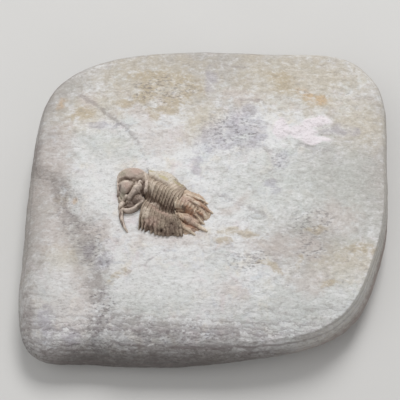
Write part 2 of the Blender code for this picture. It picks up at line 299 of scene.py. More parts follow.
stone = {
    "plateau": 20.0, "crown": 0.0006, "pole": (-12.0, -4.0), "baseInset": 6.5,
    "around": 420, "faceRings": 150, "shoulderRings": 34, "bellyRings": 14, "baseRings": 5,
    # widest outline: x, y, height of the widest line, width of the rounded edge, power of its curve
    "rim": [(53.5, 10.1, 9.0, 3.2, 1.7), (54.2, 28.6, 10.0, 4.0, 2.0), (51.0, 38.6, 10.5, 4.5, 2.2),
            (41.2, 46.2, 11.0, 4.5, 2.2), (18.0, 47.1, 11.0, 4.0, 2.2), (-6.0, 47.9, 11.0, 4.0, 2.2),
            (-27.0, 46.0, 11.0, 4.5, 2.2), (-41.6, 40.3, 10.5, 5.0, 2.2), (-49.8, 29.8, 10.0, 5.5, 2.2),
            (-52.8, 8.0, 9.5, 6.5, 2.1), (-53.5, -16.0, 9.0, 7.0, 2.0), (-53.4, -36.0, 8.0, 6.5, 1.9),
            (-48.0, -46.0, 7.0, 7.0, 2.0), (-32.8, -47.6, 6.0, 8.5, 2.1), (-10.0, -48.2, 6.0, 8.5, 2.1),
            (12.0, -46.5, 9.0, 5.5, 2.0), (30.4, -42.9, 10.0, 3.8, 1.4), (41.9, -35.5, 8.5, 3.9, 1.08),
            (48.9, -22.1, 7.5, 3.9, 1.08), (52.8, -7.1, 8.0, 3.4, 1.2)],
    "stepY": (-50.0, -38.0, -30.0, -22.0, -16.0, -9.0, -2.0, 3.0, 8.0, 12.0),
    "stepX": (-25.0, -27.0, -29.5, -29.5, -33.0, -35.8, -38.5, -43.5, -51.0, -60.0),
    "stepDrop": 2.0, "stepWidth": 3.2,
    "swell": ((-43.5, -25.0), (7.5, 14.0), 1.3),
    "frontFall": 0.010, "frontStart": -26.0,
    "bank": [(-19.0, 7.6), (-13.0, 7.0), (-8.0, 4.6), (-3.5, 0.6)], "bankHeight": 0.9, "bankWidth": 3.2,
    # bedding of the sides: bend and patches as height, size, octaves, seed; start and end of a groove
    "bedBend": (0.5, 9.0, 2, 5), "bedPatches": (0.5, 7.0, 2, 8), "bedGroove": (0.15, 0.6),
    "sideRough": (0.25, 3.0, 3, 13), "sideGain": 1.5,
}


def stoneFace(x, y):
    # plateau less a crown, a step down to the left terrace, a swell, the falling front, the bank
    s = stone
    height = s["plateau"] - s["crown"] * (x * x + y * y)
    past = np.interp(y, s["stepY"], s["stepX"]) - x
    height = height - s["stepDrop"] * 0.5 * (1 + np.tanh(past / s["stepWidth"]))
    height = height - s["frontFall"] * np.maximum(s["frontStart"] - y, 0.0) ** 2
    height = height + patch(x, y, s["swell"])
    return height + s["bankHeight"] * bell(distanceToPath(x, y, s["bank"]), 0, s["bankWidth"])


ledgePath = [(-38.0, 31.0), (-36.2, 29.9), (-32.8, 27.2), (-26.4, 21.2), (-23.4, 19.3), (-19.7, 13.8),
             (-17.6, 8.4)]
cornerCrack = [(-12.0, -18.3), (-17.5, -21.8), (-24.2, -25.5), (-28.2, -28.6), (-30.3, -35.3), (-31.6, -43.0)]
middleCrack = [(1.9, -0.3), (6.1, -3.4), (15.9, -7.9)]
shellCrack = [(26.1, 14.7), (30.1, 13.1), (35.9, 12.8)]
backCracks = [(4.3, 41.1), (11.2, 40.1)], [(9.5, 29.2), (16.0, 28.5)]

relief = {
    # roughness and wander: height, size, octaves, seed
    "undulation": (0.26, 13.0, 2, 3), "lumps": (0.13, 3.6, 3, 11), "grain": (0.055, 0.9, 2, 29),
    "crackWander": (0.35, 3.0, 2, 43), "ledgeWander": (0.9, 2.5, 3, 41), "scarpWander": (1.2, 5.0, 2, 47),
    # low step of a bedding plane, whose lower side lies to the left of the path; the foot of the scarp
    "ledgeDrop": 0.36, "ledgeReach": (9.0, 2.0), "ledgeEdge": (-0.5, 0.5),
    "scarpDrop": 0.50, "scarpWidth": 3.4, "scarpRise": (-1.5, 1.5), "scarpFade": (0, 9),
    # terraces of the front: where they start, spacing, depth, share of the flat tread, bends, patches
    "bedStart": (-29.0, -38.0), "bedSpacing": 1.05, "bedDepth": 0.30, "treadShare": 0.75,
    "bedBend": (0.9, 12.0, 2, 53), "bedFray": (0.25, 2.0, 2, 59),
    "bedMean": 0.35, "bedPatches": (0.65, 8.0, 2, 61), "patchPerBed": 0.3,
    # hairline cracks: path, half width, depth
    "cracks": [(cornerCrack, 0.22, 0.16), (middleCrack, 0.30, 0.10), (shellCrack, 0.28, 0.22),
               (backCracks[0], 0.2, 0.1), (backCracks[1], 0.2, 0.12)],
    # painted shade lines along the ledge step and in the cracks: path, width; their mask in the middle
    "creases": [(ledgePath[:-1], 1.2), (cornerCrack[:4], 0.6), (cornerCrack[3:], 1.5), (middleCrack, 1.1),
                (shellCrack, 0.8), (backCracks[0], 0.7), (backCracks[1], 0.7)],
    "creaseTop": 1.1,
    # pits: x, y, radius, depth
    "pits": [(6.4, -28.3, 0.55, 0.5), (37.2, -26.9, 0.4, 0.4), (-25.4, -15.7, 0.45, 0.5),
             (-28.7, -21.8, 1.2, 0.6),
             (-22.5, 30.9, 0.5, 0.4), (-32.8, 27.5, 0.4, 0.3), (40.8, 13.1, 0.5, 0.5), (30.4, 32.6, 0.5, 0.4),
             (27.6, -10.6, 0.35, 0.3), (28.9, -10.9, 0.35, 0.3), (27.5, -17.1, 0.4, 0.4),
             (-43.5, -39.7, 0.6, 0.5),
             (36.5, -0.7, 0.4, 0.3), (26.1, 15.1, 0.4, 0.3), (15.9, 24.2, 0.4, 0.4), (-1.5, 10.6, 0.4, 0.3),
             (2.3, -23.5, 0.3, 0.3), (-25.8, -1.9, 0.5, 0.5)],
    # raised shell marks: centre, size, turn, height; edge, in squares of the distance over the size
    "shells": [((21.0, 19.6), (1.9, 2.6), 0, 0.22), ((28.0, 19.0), (4.6, 1.7), 0, 0.20),
               ((33.1, 21.9), (4.6, 1.1), -4, 0.22), ((31.9, 15.6), (4.8, 1.1), -14, 0.22)],
    "shellEdge": (1.6, 0.5),
}


def stoneRelief(x, y, z):
    # fine height of the upper face: roughness, pits, cracks, shell marks, ledge, scarp foot, front terraces
    r, flat = relief, np.zeros_like(x)
    added = uneven(x, y, flat, r["undulation"]) + uneven(x, y, flat, r["lumps"]) + uneven(x, y, z, r["grain"])
    for px, py, radius, depth in r["pits"]:
        added = added - depth * hill(x, y, (px, py), (radius, radius))
    wander = x + uneven(x, y, flat, r["crackWander"])
    for path, width, depth in r["cracks"]:
        added = added + groove(wander, y, path, width, depth)
    for centre, size, turn, height in r["shells"]:
        away = -np.log(hill(x, y, centre, size, turn) + 1e-9)
        added = added + height * ease(*r["shellEdge"], away)
    ledgeX, ledgeY = zip(*ledgePath[::-1])
    lower = np.interp(y, ledgeY, ledgeX) - x + uneven(x, y, flat, r["ledgeWander"])
    near = ease(*r["ledgeReach"], distanceToPath(x, y, ledgePath))
    added = added - r["ledgeDrop"] * near * ease(*r["ledgeEdge"], lower)
    past = np.interp(y, stone["stepY"], stone["stepX"]) - x + uneven(x, y, flat, r["scarpWander"])
    past = past / r["scarpWidth"]
    added = added - r["scarpDrop"] * (ease(*r["scarpRise"], past) - ease(*r["scarpFade"], past))
    layer = z + uneven(x, y, flat, r["bedBend"]) + uneven(x, y, flat, r["bedFray"])
    layer = layer / r["bedSpacing"]
    step, tread = layer % 1.0, r["treadShare"]
    terrace = np.where(step < tread, step / tread, (1 - step) / (1 - tread)) - 0.5
    strength = np.maximum(r["bedMean"] + uneven(x, y, layer * r["patchPerBed"], r["bedPatches"]), 0.0)
    return added + r["bedDepth"] * ease(*r["bedStart"], y) * terrace * strength


# where each colour lies on the upper face: x, y, half width, half depth, turn in degrees
stains = {
    # a grey-brown wash, darker towards the back and the sides
    "patina": [(54, 8, 11, 42, 0), (-52, -2, 15, 44, -3), (0, 46, 64, 24, 0),
               (-46, 34, 16, 20, -35), (44, 2, 24, 26, 0), (-36, -16, 9, 20, 20),
               (28, -16, 20, 12, 0)],
    "beige": [(-14.3, 34.6, 26.4, 13, 0), (26.5, 35.6, 30.3, 15, 0), (-33.9, 25.9, 15.3, 9, 20),
              (43.4, 22.2, 11.8, 12.4, 15), (-40.9, -19.8, 5.9, 5.5, 0), (38, -22, 12, 8, 20),
              (-2, 22, 8, 9, 20)],
    "ochre": [(-16.7, 37.3, 7.6, 3.4, -5), (-9.8, 36, 5.2, 2.7, 0), (-17.8, 29.9, 3.8, 3, 0),
              (-8.9, 29.5, 6.3, 4, 25), (-13.5, 24.5, 5.1, 2.4, 0), (-23.6, 27.9, 3.4, 1.6, 0),
              (-17.2, 32.6, 4, 2.2, 0), (-4, 33, 4, 3, 0), (8.8, -13.3, 7.4, 1.3, -3),
              (3.8, -15.4, 3.4, 1.3, 0), (16.9, -22.9, 5.6, 1.1, -12), (24.6, -21.5, 1.3, 1.8, 0),
              (29.4, -12.1, 3.6, 1.1, 0), (41.4, -17.4, 5, 1.7, 0), (33.9, -27.5, 4, 1.3, 0),
              (-24.2, -25.8, 4.8, 1.4, 25), (-37.7, 24.5, 5.1, 2.6, 25), (-42, -1.3, 3.2, 2.1, 0),
              (22.5, 34.3, 4.2, 5.1, 20), (32, 29.5, 7, 2.6, -8)],
    "orange": [(-44.3, 28.4, 1.4, 2.6, -30), (29.8, 30.7, 3.4, 2.3, -20), (34, 29.4, 3.4, 1.9, -10),
               (-38, -2.5, 1.2, 1.4, 0)],
    "green": [(23.3, 1.2, 27.2, 14.9, 0), (39.2, 5.9, 12, 11.2, 0), (-29, 13.8, 11.9, 8.1, 0),
              (40, -3.4, 10.5, 17, 0), (24.7, -32.6, 20.2, 10.5, 15), (-15.9, -32.6, 14.2, 8.2, 0)],
    "pink": [(-36.1, 29.2, 4, 4.4, 0), (-19.5, 22.5, 8, 3.6, -48), (-12.5, 15.4, 9.6, 6.5, 0),
             (-45.4, 7.4, 6.9, 16.5, -8),
             (-43.7, -10.9, 8.1, 9.8, 0), (-36.1, -32.6, 9.1, 11.6, 0), (7.8, -4.9, 8.8, 2.2, 38),
             (-31.6, -12.4, 8.1, 3.4, 0), (20.3, -17.1, 14.1, 4.9, -5), (35.5, -7.9, 9, 6.8, 0),
             (27.6, -26.9, 8, 4.9, 0), (-12.1, -14.5, 17.3, 3.4, -3), (5.8, -30.3, 5.8, 3.3, 0),
             (10, 30, 9, 3.5, 5)],
    "violet": [(2.3, 16.4, 5.4, 6.2, -20), (7.9, 20.2, 6.2, 5.8, 35), (11.8, 24.4, 4.3, 3.8, 15),
               (13.3, 17.6, 4.3, 6.9, 0), (7, 15, 5, 4, 0), (20.3, 9.6, 2.2, 3.9, -25),
               (0.6, 36, 2.1, 6.2, 0), (-30.2, 20.6, 5.7, 1.5, -5), (18.1, 0.6, 3, 3.2, 0),
               (-28.6, -21.2, 4.2, 2.4, 35), (-32.4, -17.8, 2.6, 2.2, 30), (-44.2, -37, 3.1, 4.9, 0),
               (-2.4, 7.4, 2.3, 5.4, 0),
               (38.5, 18.6, 6, 2.2, 0), (-38, -41, 4, 3, 0)],
    # grey spots: painted shade along the foot of the scarp and on the front slope, grey stains elsewhere
    "grey": [(-42.6, -1, 2.8, 6.4, 20), (-38.6, -8, 3.6, 7.2, 35), (-32.2, -18.2, 3, 5.6, 32),
             (-31.2, -27.5, 2.6, 6.2, 0), (-29, -37, 4, 4, 0), (-22, -38.5, 7, 3.4, 0),
             (-49.6, -34.8, 2.4, 9, 0),
             (-12.3, -40.4, 14, 4, -3), (-15.6, -45.7, 14.6, 2.6, -2),
             (6, -42, 13, 4, 5), (1.6, -44.9, 12, 3, 0), (-32.8, -46.2, 9.9, 3.6, 0),
             (-39.5, -44.9, 8.9, 3.4, -8), (17.9, 12.8, 3, 1.8, 10), (-50.1, 12.2, 2.8, 8.4, -15)],
    # painted light: lighter spots where slopes turn to the light, beside the head and to the lower left
    "bright": [(-31.7, 1.2, 7.4, 12.4, -10), (-13.2, -28.3, 20, 7, 0), (-41, -27, 6, 10, 0)],
    "white": [(21, 19.6, 2.6, 3.2, 0), (26.8, 19, 4.4, 2.6, 0), (33, 22, 5.4, 1.8, -4),
              (31.9, 15.7, 5.6, 1.8, -14), (30, 18.8, 3, 3.3, 0)],
    "speck": [(28.3, -9.5, 8.4, 6, 0), (27.6, -17.5, 6, 4.5, 0), (7, 18.4, 11, 9, 15),
              (11.9, -20.6, 9, 3.6, 0), (-40, -4, 5, 10, 25), (-33, -16, 6, 11, 30),
              (-28.9, -21.5, 3.6, 2.6, 35), (28.6, 31.4, 2, 1.6, 0), (-14, 32, 12, 6, 0),
              (-29, -34, 5, 8, 0), (-10, -42, 20, 3.2, 0), (20.3, 9.6, 2.4, 4, -25)],
}


stainDepth = 40.0    # mm below the plateau at which a spot has faded by 1
stainBend = {"x": (3.0, 6.0, 3, 101), "y": (2.4, 5.0, 3, 107), "lineX": (0.9, 2.6, 3, 43),
             "lineY": (0.9, 2.6, 3, 71)}


def stainMasks(points):
    # for each colour the mask of its spots, with the outlines bent by noise, and the mask of the painted
    # shade lines along the ledge and in the cracks
    x, y, z = points[..., 0], points[..., 1], points[..., 2]
    bentX = x + uneven(x, y, z, stainBend["x"])
    bentY = y + uneven(bentX, y, z, stainBend["y"])
    drop = (z - stone["plateau"]) / stainDepth
    masks = {kind: spotMask(bentX, bentY, spots, drop) for kind, spots in stains.items()}
    lineX = x + uneven(bentX, bentY, z, stainBend["lineX"])
    lineY = y + uneven(bentX, bentY, z, stainBend["lineY"])
    masks["crease"] = np.zeros_like(x)
    for path, width in relief["creases"]:
        line = relief["creaseTop"] - distanceToPath(lineX, lineY, path) / width
        masks["crease"] = np.maximum(masks["crease"], line)
    return {kind: np.append(mask.ravel(), (mask[0].mean(), 0.0)) for kind, mask in masks.items()}


def buildStone():
    # rings run from a pole under the fossil out over the face, round the edge and under to the base;
    # the edge is a superellipse between the face and the widest line, the underside a quarter ellipse
    s, pole = stone, np.array(stone["pole"])
    turns = np.arange(s["around"]) / s["around"]
    rim = through(s["rim"], turns * len(s["rim"]), closed=True)
    belly, width, power = rim[:, 2], rim[:, 3], rim[:, 4]
    outward = rim[:, :2] - pole
    reach = np.hypot(outward[:, 0], outward[:, 1])

    def shares(rings):
        # 1/n, 2/n to 1 for a number of rings, as a column
        return (np.arange(1, s[rings] + 1) / s[rings])[:, None]

    def inset(inward):
        # points of the outline moved towards the pole by a distance
        return pole[0] + outward[:, 0] * (1 - inward / reach), pole[1] + outward[:, 1] * (1 - inward / reach)

    inward = np.vstack([width + (reach - width) * (1 - shares("faceRings")),
                        width * (1 - np.sin(0.5 * math.pi * shares("shoulderRings")))])
    x, y = inset(inward)
    fall = (1 - np.minimum(inward / width, 1.0)) ** power
    edge = (1 - fall) ** (1 / power)
    z = belly + (stoneFace(x, y) - belly) * edge
    z = z + stoneRelief(x, y, z) * edge
    bend = 0.5 * math.pi * shares("bellyRings")
    underX, underY = inset(s["baseInset"] * (1 - np.cos(bend)))
    left = 1 - shares("baseRings")[:-1]
    baseX, baseY = pole[0] + (underX[-1] - pole[0]) * left, pole[1] + (underY[-1] - pole[1]) * left
    points = np.stack([np.vstack([x, underX, baseX]), np.vstack([y, underY, baseY]),
                       np.vstack([z, belly * (1 - np.sin(bend)), np.zeros_like(baseX)])], -1)
    # bedding and roughness on the rounded edge and the side, always inwards
    side = np.vstack([1 - edge, np.cos(bend) * np.ones_like(belly), np.zeros_like(baseX)])
    x, y, z = points[..., 0], points[..., 1], points[..., 2]
    layer = (z + uneven(x, y, z, s["bedBend"])) / relief["bedSpacing"]
    beds = 1 - ease(*s["bedGroove"], np.abs(layer % 1.0 - 0.5) * 2)
    cut = relief["bedDepth"] * beds * (0.5 + uneven(x, y, z, s["bedPatches"]))
    cut = cut + s["sideRough"][0] + uneven(x, y, z, s["sideRough"])
    away = points[..., :2] - pole
    away = away / np.linalg.norm(away, axis=-1, keepdims=True)
    points[..., :2] = points[..., :2] - away * (cut * np.clip(side * s["sideGain"], 0, 1))[..., None]
    points = np.clip(points, boxLow, boxHigh)
    piece = makePiece("limestoneBlock", *closedTube(points, flip=True), stainMasks(points))
    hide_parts("matrix")
    return piece


stonePiece = buildStone()
print("stone:", len(stonePiece.data.vertices), "points")


lowestForm = -9.0                # height where no form stands
ridgeEdge = (0.97, 0.757, 5.0)   # share of the radius where the circle ends, its drop there, slope beyond
domeSlope = 2.5                  # slope outside the rim of a lobe, in its heights per size


def pathRidge(x, y, points, radii, stretch=24):
    # crest height along a smooth path, falling away on both sides as a quarter circle of the local radius
    where = np.linspace(0, len(points) - 1, stretch)
    path = through(points, where)
    size = through(np.array(radii)[:, None], where)[:, 0]
    full, fullDrop, slope = ridgeEdge
    best = np.full(x.shape, lowestForm)
    for (ax, ay, az), (bx, by, bz), ra, rb in zip(path[:-1], path[1:], size[:-1], size[1:]):
        share = ((x - ax) * (bx - ax) + (y - ay) * (by - ay)) / ((bx - ax) ** 2 + (by - ay) ** 2)
        share = np.clip(share, 0.0, 1.0)
        away = np.hypot(x - ax - share * (bx - ax), y - ay - share * (by - ay))
        radius = ra + share * (rb - ra)
        ratio = away / radius
        circle = 1 - np.sqrt(np.maximum(1 - ratio ** 2, 0))
        drop = radius * np.where(ratio < full, circle, fullDrop + slope * (ratio - full))
        best = np.maximum(best, az + share * (bz - az) - drop)
    return best


def dome(x, y, centre, size, turn=0.0):
    # half ellipsoid standing on its centre height, steep outside its rim
    c, s = math.cos(math.radians(turn)), math.sin(math.radians(turn))
    along = ((x - centre[0]) * c + (y - centre[1]) * s) / size[0]
    across = ((y - centre[1]) * c - (x - centre[0]) * s) / size[1]
    square = along ** 2 + across ** 2
    inside = np.sqrt(np.maximum(1 - square, 0)) - domeSlope * np.maximum(np.sqrt(square) - 1, 0)
    return centre[2] + size[2] * (inside - 1)


def blendUp(heights, sharpness, limit=60):
    # smooth maximum: log of the sum of exponentials
    return np.log(sum(np.exp(np.clip(sharpness * height, -limit, limit)) for height in heights)) / sharpness


furrowDepth = 0.7    # share of a furrow's depth that is cut


def formHeight(x, y, form):
    # smooth maximum of crests and lobes, cut by furrows that fade out at the foot of the form
    heights = [pathRidge(x, y, points, radii) for points, radii in form["ridges"]]
    heights += [dome(x, y, centre, size, turn) for centre, size, turn in form["domes"]]
    height = blendUp(heights, form["sharpness"])
    for path, width, depth in form["grooves"]:
        height = height + furrowDepth * groove(x, y, path, width, depth) * ease(*form["foot"], height)
    return height


def smoothed(values, passes):
    # mean with the four neighbours, repeated
    for _ in range(passes):
        edged = np.pad(values, ((1, 1), (1, 1)) + ((0, 0),) * (values.ndim - 2), mode="edge")
        values = (edged[:-2, 1:-1] + edged[2:, 1:-1] + edged[1:-1, :-2] + edged[1:-1, 2:] + 2 * values) / 6
    return values


def crestTone(height, fine=14, wide=160, fineGain=2.2, wideGain=0.45):
    # how far the surface stands above its own surroundings, as 0 (furrow) to 1 (crest); the finishes paint
    # shade in furrows and highlights on crests by it
    tone = 0.5 + fineGain * (height - smoothed(height, fine)) + wideGain * (height - smoothed(height, wide))
    return np.clip(tone, 0, 1)


tintBend = (0.5, 1.5, 2, 131), (0.5, 1.5, 2, 137)


def tintMasks(x, y, tints):
    # spot masks of a part's own colours, with the outlines bent a little
    bentX, bentY = x + uneven(x, y, 0 * x, tintBend[0]), y + uneven(x, y, 0 * x, tintBend[1])
    return {kind: spotMask(bentX, bentY, spots) for kind, spots in tints.items()}


buried = {"sunk": 0.5, "hidden": 0.1, "margin": 2, "baseDrop": 0.1}    # how forms end below the stone, in mm


def shownCells(height, ground):
    # cells of a grid that stand clear of the ground, with a margin of cells, but none wholly in the stone:
    # those that show are grown, ring by ring, within the cells that stand clear
    def anyCorner(mask):
        # cells of which at least one corner is marked
        return mask[:-1, :-1] | mask[:-1, 1:] | mask[1:, 1:] | mask[1:, :-1]

    def spread(mask):
        # the marked cells and those that touch them
        return anyCorner(anyCorner(np.pad(mask, 1)))

    clear, kept = anyCorner(height > ground + buried["hidden"]), anyCorner(height > ground + buried["sunk"])
    for _ in range(buried["margin"]):
        clear = spread(clear)
    wider = spread(kept) & clear
    while (wider != kept).any():
        kept, wider = wider, spread(wider) & clear
    lone = np.ones(1, bool)
    while lone.any():
        # two cells that meet at a corner alone get the cells between them
        a, b, c, d = kept[:-1, :-1], kept[:-1, 1:], kept[1:, :-1], kept[1:, 1:]
        lone = (a & d & ~b & ~c) | (b & c & ~a & ~d)
        for part in (a, b, c, d):
            part |= lone
    return kept


def carvedShell(points, kept, lowest):
    # closed shell of some cells of a skin: the cells, the same cells at the lowest level, a wall round them
    rows, columns = points.shape[:2]
    number = np.arange(rows * columns).reshape(rows, columns)
    quads = np.stack([number[:-1, :-1], number[:-1, 1:], number[1:, 1:], number[1:, :-1]], -1)
    below, framed = rows * columns, np.pad(kept, 1)
    faces = [quads[kept], quads[kept][:, ::-1] + below]
    for side, (down, across) in enumerate(((-1, 0), (0, 1), (1, 0), (0, -1))):
        beyond = framed[1 + down:rows + down, 1 + across:columns + across]
        edge = quads[kept & ~beyond]
        first, second = edge[:, side], edge[:, (side + 1) % 4]
        faces.append(np.stack([second, first, first + below, second + below], -1))
    flat = points.reshape(-1, 3)
    flat = np.vstack([flat, np.column_stack([flat[:, :2], np.full(len(flat), lowest)])])
    used, faces = np.unique(np.vstack(faces), return_inverse=True)
    return flat[used], faces.reshape(-1, 4).tolist(), used


def reliefBlock(name, node, form, heightAt):
    # level grid lifted to a height; where it would lie below the stone it stops a little under its surface
    (x0, x1, y0, y1), step = form["area"], form["step"]
    x, y = np.meshgrid(np.arange(x0, x1, step), np.arange(y0, y1, step))
    ground = stoneFace(x, y) - stone["plateau"] - buried["sunk"]
    rim = np.minimum(np.minimum(x - x0, x1 - step - x), np.minimum(y - y0, y1 - step - y))
    height = np.where(rim < step * 1.5, ground, np.maximum(heightAt(x, y), ground))
    fields = {"tone": crestTone(height), **tintMasks(x, y, form["tints"])}
    skin = np.stack([x, y, height + stone["plateau"]], -1)
    lowest = stone["plateau"] + ground.min() - buried["baseDrop"]
    points, faces, used = carvedShell(skin, shownCells(height, ground), lowest)
    marks = {kind: np.tile(field.ravel(), 2)[used] for kind, field in fields.items()}
    piece = makePiece(name, points, faces, marks)
    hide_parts(node)
    return piece


head = {
    "area": (-26.0, -16.6, -13.4, 5.9), "step": 0.062, "sharpness": 5.0,
    # crests: path of x, y, height above the plateau; radius at each point
    "ridges": [([(-25.0, 0.9, 1.6), (-24.7, 2.6, 2.3), (-23.6, 3.5, 3.0), (-22.0, 3.7, 3.5),
                 (-20.1, 3.5, 3.6),
                 (-18.3, 2.7, 3.1)], [1.0, 1.4, 1.8, 2.0, 2.0, 1.6]),
               ([(-17.5, 3.4, 2.0), (-17.2, 2.0, 2.6), (-17.2, 0.3, 3.0), (-17.6, -1.3, 2.6)],
                [0.6, 0.7, 0.75, 0.6]),
               ([(-19.5, -0.3, 4.1), (-20.2, -1.2, 4.2), (-21.2, -2.4, 3.5), (-21.9, -3.3, 2.9)],
                [0.8, 1.05, 0.9, 0.8]),
               ([(-24.0, -6.5, 1.0), (-22.8, -6.75, 1.3), (-21.6, -6.55, 1.55), (-20.5, -6.0, 1.8),
                 (-19.7, -5.3, 2.0),
                 (-18.6, -4.6, 2.2)], [0.40, 0.42, 0.45, 0.45, 0.42, 0.4]),
               ([(-24.4, -6.2, 1.0), (-24.5, -7.9, 0.95), (-24.15, -9.8, 0.75), (-23.5, -11.4, 0.5),
                 (-22.6, -12.8, 0.1)], [0.62, 0.48, 0.34, 0.26, 0.14])],
    # lobes: centre x, y, crest height; half sizes; turn
    "domes": [((-23.1, -0.3, 4.25), (2.0, 1.95, 2.3), 10), ((-20.1, -1.0, 4.35), (1.1, 0.95, 1.4), 45),
              ((-19.2, 0.8, 4.0), (0.55, 0.5, 0.7), 0), ((-20.1, -3.6, 2.9), (1.6, 1.5, 1.7), 5),
              ((-22.95, -2.9, 2.2), (0.7, 0.6, 0.9), 0), ((-24.2, -2.9, 1.5), (1.1, 1.3, 1.0), 0),
              ((-24.3, -5.1, 1.35), (0.8, 1.15, 0.9), -25), ((-21.6, 0.6, 2.9), (4.3, 4.3, 2.6), 0),
              ((-21.4, -4.4, 1.5), (1.9, 1.6, 1.2), 0), ((-18.9, -3.9, 1.9), (1.0, 1.4, 1.5), 0)],
    # furrows: path, half width, depth
    "grooves": [([(-25.4, 1.3), (-24.3, 1.95), (-22.9, 2.0), (-21.2, 1.3), (-19.9, 1.35), (-18.8, 1.75)],
                 0.36, 0.75),
                ([(-25.4, 0.4), (-24.9, -1.1), (-23.7, -2.15), (-22.6, -2.1)], 0.28, 0.6),
                ([(-20.9, 1.0), (-21.1, -0.2), (-21.8, -1.3), (-22.6, -2.2)], 0.28, 0.8),
                ([(-18.3, 3.6), (-18.15, 1.8), (-18.35, 0.1), (-18.3, -1.5)], 0.32, 0.45),
                ([(-19.9, -2.3), (-20.8, -3.3), (-21.3, -4.2)], 0.26, 0.55),
                ([(-18.9, -1.5), (-18.25, -2.4), (-17.5, -1.95), (-16.8, -2.5)], 0.42, 1.5),
                ([(-26.0, -1.9), (-25.2, -2.4), (-24.4, -3.6)], 0.22, 0.7),
                ([(-22.8, -4.6), (-24.0, -5.75), (-24.9, -6.4)], 0.24, 0.9),
                ([(-22.6, -5.0), (-21.4, -5.3), (-20.2, -4.9)], 0.45, 0.5),
                ([(-20.2, -1.9), (-19.3, -2.4)], 0.22, 0.4), ([(-19.85, -3.3), (-19.75, -3.5)], 0.40, 0.4)],
    # foot over which the furrows fade in; granules and slow swell: height, size, octaves, seed
    "foot": (-0.4, 0.8), "granules": (0.16, 0.5, 2, 61), "swell": (0.10, 1.6, 2, 67),
    # tints: the dark brown spots are painted shade in hollows and on flanks turned from the light
    "tints": {"dusk": [(-21.2, -5.2, 2.8, 1.2, 5), (-24.9, -8.0, 0.5, 2.2, 0), (-24.2, -10.8, 0.45, 1.8, 20),
                       (-20.3, -4.0, 2.3, 2.2, 0), (-21.7, -4.7, 1.96, 0.61, 0), (-17.8, -2.1, 1.41, 0.91, 0),
                       (-25.5, -2.1, 0.70, 0.46, -20), (-24.8, -0.8, 0.70, 1.22, 0),
                       (-22.1, 1.9, 2.53, 0.49, -5)],
              # pale spots: painted highlights on lit lobes, and pale patches such as a flake
              "pale": [(-24.4, -5.2, 0.84, 1.21, 20), (-22.9, 0.6, 0.90, 0.67, 0),
                       (-23.0, -3.1, 0.62, 0.67, 0),
                       (-20.6, -1.0, 1.12, 0.79, 20), (-17.8, 1.8, 0.62, 2.77, 0),
                       (-19.7, -5.4, 1.12, 0.39, 40),
                       (-19.1, 0.5, 0.45, 0.49, 0)],
              "moss": [(-24.3, -2.8, 1.27, 1.52, 0), (-24.1, 3.4, 1.41, 1.39, 30)],
              "rose": [(-20.4, 4.0, 2.26, 1.39, 0), (-22.8, -0.8, 1.40, 1.22, 0)]},
}


def headHeight(x, y):
    # the head's forms with granules and a slow swell
    return formHeight(x, y, head) + granules(x, y, head["granules"]) + uneven(x, y, 0 * x, head["swell"])


headPiece = reliefBlock("cephalonShell", "cephalon", head, headHeight)
print("head:", len(headPiece.data.vertices), "points")


